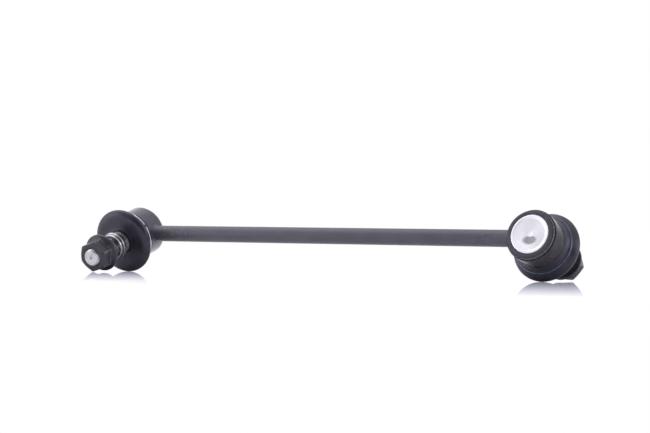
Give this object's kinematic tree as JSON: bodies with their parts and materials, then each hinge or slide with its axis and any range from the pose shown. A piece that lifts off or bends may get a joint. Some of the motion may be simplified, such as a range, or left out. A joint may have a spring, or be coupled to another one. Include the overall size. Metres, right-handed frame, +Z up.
{
  "type": "stabilizer link",
  "caption": "Straight steel anti-roll bar link with a booted ball joint welded on each end, each with a threaded stud and flange nut that bolt it between a strut and a bar.",
  "frame": {"origin": "on the surface that the link lies on, below the middle of the rod", "axes": "+X along the rod, +Y across it on the right stud's side, +Z up; the left stud points to -Y and the right stud to +Y, both down to the surface"},
  "size_m": [0.3552, 0.1106, 0.0453],
  "materials": {
    "rod_paint": "satin black paint",
    "housing_paint": "satin black paint, rough on the crimped rim",
    "cap_plate": "bright zinc plated pressing",
    "spring_steel": "oiled spring steel",
    "seat_plastic": "natural acetal",
    "stud_zinc": "bright zinc plate",
    "boot_rubber": "smooth moulded rubber",
    "clip_steel": "blued spring wire",
    "neck_clip_steel": "grey spring wire",
    "nut_black": "black phosphate and oil"
  },
  "bodies": {
    "link": {"rod": "rod_paint", "left_housing": "housing_paint", "left_cap": "cap_plate", "left_disc_spring": "spring_steel", "left_rear_seat": "seat_plastic", "left_front_seat": "seat_plastic", "left_boot_clip": "clip_steel", "right_housing": "housing_paint", "right_cap": "cap_plate", "right_disc_spring": "spring_steel", "right_rear_seat": "seat_plastic", "right_front_seat": "seat_plastic", "right_boot_clip": "clip_steel"},
    "left_boot": {"left_boot": "boot_rubber"},
    "left_neck": {"left_neck_clip": "neck_clip_steel"},
    "left_stud": {"left_ball_stud": "stud_zinc"},
    "left_nut": {"left_nut": "nut_black"},
    "right_boot": {"right_boot": "boot_rubber"},
    "right_neck": {"right_neck_clip": "neck_clip_steel"},
    "right_stud": {"right_ball_stud": "stud_zinc"},
    "right_nut": {"right_nut": "nut_black"}
  },
  "joints": [
    {"name": "left_swing_up", "type": "hinge", "parent": "link", "child": "left_boot", "pos_m": [-0.155, 0, 0.0271], "axis": [-1, 0, 0], "range_deg": [-16, 16], "deforming": ["left_boot"]},
    {"name": "left_swing_side", "type": "hinge", "parent": "left_boot", "child": "left_neck", "pos_m": [-0.155, 0, 0.0271], "axis": [0, -0.3138, 0.9495], "range_deg": [-16, 16]},
    {"name": "left_stud_spin", "type": "hinge", "parent": "left_neck", "child": "left_stud", "pos_m": [-0.155, 0, 0.0271], "axis": [0, -0.9495, -0.3138], "continuous": true},
    {"name": "left_nut_run", "type": "slide", "parent": "left_stud", "child": "left_nut", "axis": [0, -0.9495, -0.3138], "range_m": [-0.0055, 0.03]},
    {"name": "right_swing_up", "type": "hinge", "parent": "link", "child": "right_boot", "pos_m": [0.155, 0, 0.0271], "axis": [1, 0, 0], "range_deg": [-16, 16], "deforming": ["right_boot"]},
    {"name": "right_swing_side", "type": "hinge", "parent": "right_boot", "child": "right_neck", "pos_m": [0.155, 0, 0.0271], "axis": [0, 0.3138, 0.9495], "range_deg": [-16, 16]},
    {"name": "right_stud_spin", "type": "hinge", "parent": "right_neck", "child": "right_stud", "pos_m": [0.155, 0, 0.0271], "axis": [0, 0.9495, -0.3138], "continuous": true},
    {"name": "right_nut_run", "type": "slide", "parent": "right_stud", "child": "right_nut", "axis": [0, 0.9495, -0.3138], "range_m": [-0.0055, 0.03]}
  ]
}
